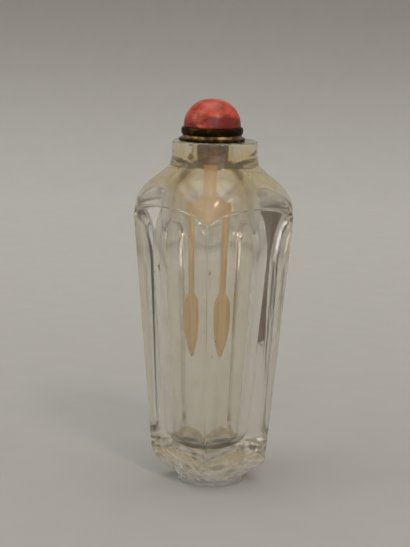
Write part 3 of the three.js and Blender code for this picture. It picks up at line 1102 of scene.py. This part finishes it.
def sweep_material(azimuth):
    """Matt pale grey backdrop paper. Painted shade darkens it towards the camera and where it
    curves up, and it is plain above that. Its tooth is drawn ten times too coarse so that it
    shows."""
    material, tree, shader, place = new_material("Backdrop paper, matt, with painted shade")
    turned = add_node(
        tree, "ShaderNodeMapping", inputs={"Vector": place, "Rotation": (0, 0, -azimuth)}
    ).outputs[0]
    depth = add_node(tree, "ShaderNodeSeparateXYZ", inputs={0: turned}).outputs["Y"]
    share = add_node(
        tree,
        "ShaderNodeMapRange",
        {"clamp": True},
        {"Value": depth, "From Min": SHADE_NEAR, "From Max": SHADE_FAR},
    ).outputs[0]
    # Painted shade: darker near the camera and where the paper curves up
    shade_tone = add_node(
        tree,
        "ShaderNodeValToRGB",
        inputs={"Fac": share},
        stops=[(stop, srgb(code)) for stop, code in SHADE_TONES],
    ).outputs["Color"]
    tooth = add_node(
        tree, "ShaderNodeTexNoise", inputs={"Vector": place, "Scale": 1 / (9 * MM), "Detail": 4}
    ).outputs["Fac"]
    grain = add_node(
        tree,
        "ShaderNodeValToRGB",
        inputs={"Fac": tooth},
        stops=((0.3, grey(0.97)), (0.7, grey(1.0))),
    ).outputs["Color"]
    colour = add_node(
        tree,
        "ShaderNodeMix",
        {"data_type": "RGBA", "blend_type": "MULTIPLY"},
        {0: 1.0, 6: shade_tone, 7: grain},
    ).outputs[2]
    tree.links.new(colour, shader.inputs["Base Color"])
    shader.inputs["Roughness"].default_value = 1.0
    shader.inputs["Specular IOR Level"].default_value = 0.0
    return material


def flag_material():
    """Dark brown felt on the cards that the right-hand face mirrors."""
    material, tree, shader, place = new_material("Wool felt, dark brown")
    fibre = add_node(
        tree, "ShaderNodeTexNoise", inputs={"Vector": place, "Scale": 1 / (12 * MM), "Detail": 5}
    ).outputs["Fac"]
    colour = add_node(
        tree,
        "ShaderNodeValToRGB",
        inputs={"Fac": fibre},
        stops=((0.35, srgb("5A4A42")), (0.65, srgb("6A5A50"))),
    ).outputs["Color"]
    tree.links.new(colour, shader.inputs["Base Color"])
    shader.inputs["Roughness"].default_value = 1.0
    shader.inputs["Specular IOR Level"].default_value = 0.0
    return material


def strip(context, name, points, start, across, material):
    """A flat strip drawn through the points, swept along across, as a part of the stage."""
    bm = bmesh.new()
    verts = [bm.verts.new(point + start) for point in points]
    edges = [bm.edges.new(pair) for pair in zip(verts, verts[1:])]
    made = bmesh.ops.extrude_edge_only(bm, edges=edges)["geom"]
    moved = [g for g in made if isinstance(g, bmesh.types.BMVert)]
    bmesh.ops.translate(bm, vec=across, verts=moved)
    for face in bm.faces:
        face.smooth = True
    mesh = bpy.data.meshes.new(name)
    bm.to_mesh(mesh)
    bm.free()
    mesh.materials.append(material)
    piece = bpy.data.objects.new(name, mesh)
    context.scene.collection.objects.link(piece)
    return piece


class SetSnuffStage(Operator):
    """Rolls out the sweep and sets the lamps and the camera"""

    bl_idname = "scene.set_snuff_stage"
    bl_label = "Stage"

    def execute(self, context):
        settings = context.scene.snuff_stage
        a, e = settings.azimuth, settings.pitch
        right = Vector((math.cos(a), math.sin(a), 0))
        away = Vector((-math.sin(a), math.cos(a), 0))
        back = Vector((math.sin(a) * math.cos(e), -math.cos(a) * math.cos(e), math.sin(e)))

        points = [(SWEEP_NEAR, 0), (SWEEP_BEND, 0)]
        for i in range(1, settings.steps + 1):
            turn = math.pi / 2 * i / settings.steps
            depth = SWEEP_BEND + SWEEP_RADIUS * math.sin(turn)
            points.append((depth, SWEEP_RADIUS * (1 - math.cos(turn))))
        points.append((SWEEP_BEND + SWEEP_RADIUS, SWEEP_TOP))
        line = [away * d + Vector((0, 0, z)) for d, z in points]
        start = -right * SWEEP_HALF_WIDTH
        strip(context, "sweep", line, start, right * SWEEP_HALF_WIDTH * 2, sweep_material(a))

        felt = flag_material()
        for name, points, near, depth in CARDS:
            line = [right * side + Vector((0, 0, z)) for side, z in points]
            start = away * near + Vector((0, 0, CARD_LIFT))
            card = strip(context, name, line, start, away * depth, felt)
            card.visible_camera = False
            card.visible_diffuse = False
            card.visible_shadow = False

        world = bpy.data.worlds.new("Studio air")
        world.use_nodes = True
        air = world.node_tree.nodes["Background"]
        air.inputs["Color"].default_value = srgb("B8B7B4")
        air.inputs["Strength"].default_value = 1.0
        context.scene.world = world

        aim = Vector((0, 0, LAMP_AIM))
        for name, side, depth, height, size, watts, colour in LAMPS:
            data = bpy.data.lights.new(name, "AREA")
            data.shape = "SQUARE"
            data.size = size
            data.energy = watts
            data.color = srgb(colour)[:3]
            lamp = bpy.data.objects.new(name, data)
            lamp.location = right * side + away * depth + Vector((0, 0, height))
            lamp.rotation_euler = (aim - lamp.location).to_track_quat("-Z", "Y").to_euler()
            context.scene.collection.objects.link(lamp)

        data = bpy.data.cameras.new("camera")
        data.sensor_width = 36
        data.lens = CAMERA_LENS
        data.clip_start = 0.02
        data.clip_end = 10
        camera = bpy.data.objects.new("camera", data)
        target = Vector((0, 0, CAMERA_AIM)) - right * CAMERA_SHIFT
        camera.location = target + back * settings.distance
        camera.rotation_mode = "QUATERNION"
        facing = (-back).to_track_quat("-Z", "Y")
        camera.rotation_quaternion = Quaternion(back, settings.roll) @ facing
        context.scene.collection.objects.link(camera)
        context.scene.camera = camera
        context.scene.view_settings.view_transform = "Standard"
        return {"FINISHED"}


# Panel and registering


class VIEW3D_PT_snuff_bottle(Panel):
    bl_label = "Snuff Bottle"
    bl_space_type = "VIEW_3D"
    bl_region_type = "UI"
    bl_category = "Snuff Bottle"

    def draw(self, context):
        groups = (
            (context.scene.snuff_glass, MakeGlassBody),
            (context.scene.snuff_stopper, MakeStopper),
            (context.scene.snuff_spoon, MakeSpoon),
            (context.scene.snuff_stage, SetSnuffStage),
        )
        for settings, operator in groups:
            box = self.layout.box()
            for name in settings.__annotations__:
                box.prop(settings, name)
            box.operator(operator.bl_idname)


CLASSES = (
    GlassBodySettings,
    StopperSettings,
    SpoonSettings,
    StageSettings,
    MakeGlassBody,
    MakeStopper,
    MakeSpoon,
    SetSnuffStage,
    VIEW3D_PT_snuff_bottle,
)


def register():
    for cls in CLASSES:
        bpy.utils.register_class(cls)
    bpy.types.Scene.snuff_glass = PointerProperty(type=GlassBodySettings)
    bpy.types.Scene.snuff_stopper = PointerProperty(type=StopperSettings)
    bpy.types.Scene.snuff_spoon = PointerProperty(type=SpoonSettings)
    bpy.types.Scene.snuff_stage = PointerProperty(type=StageSettings)


def unregister():
    del bpy.types.Scene.snuff_stage
    del bpy.types.Scene.snuff_spoon
    del bpy.types.Scene.snuff_stopper
    del bpy.types.Scene.snuff_glass
    for cls in reversed(CLASSES):
        bpy.utils.unregister_class(cls)


def main():
    register()
    bpy.ops.object.make_snuff_glass()
    bpy.ops.object.make_snuff_stopper()
    bpy.ops.object.make_snuff_spoon()
    bpy.ops.scene.set_snuff_stage()


if __name__ == "__main__":
    main()
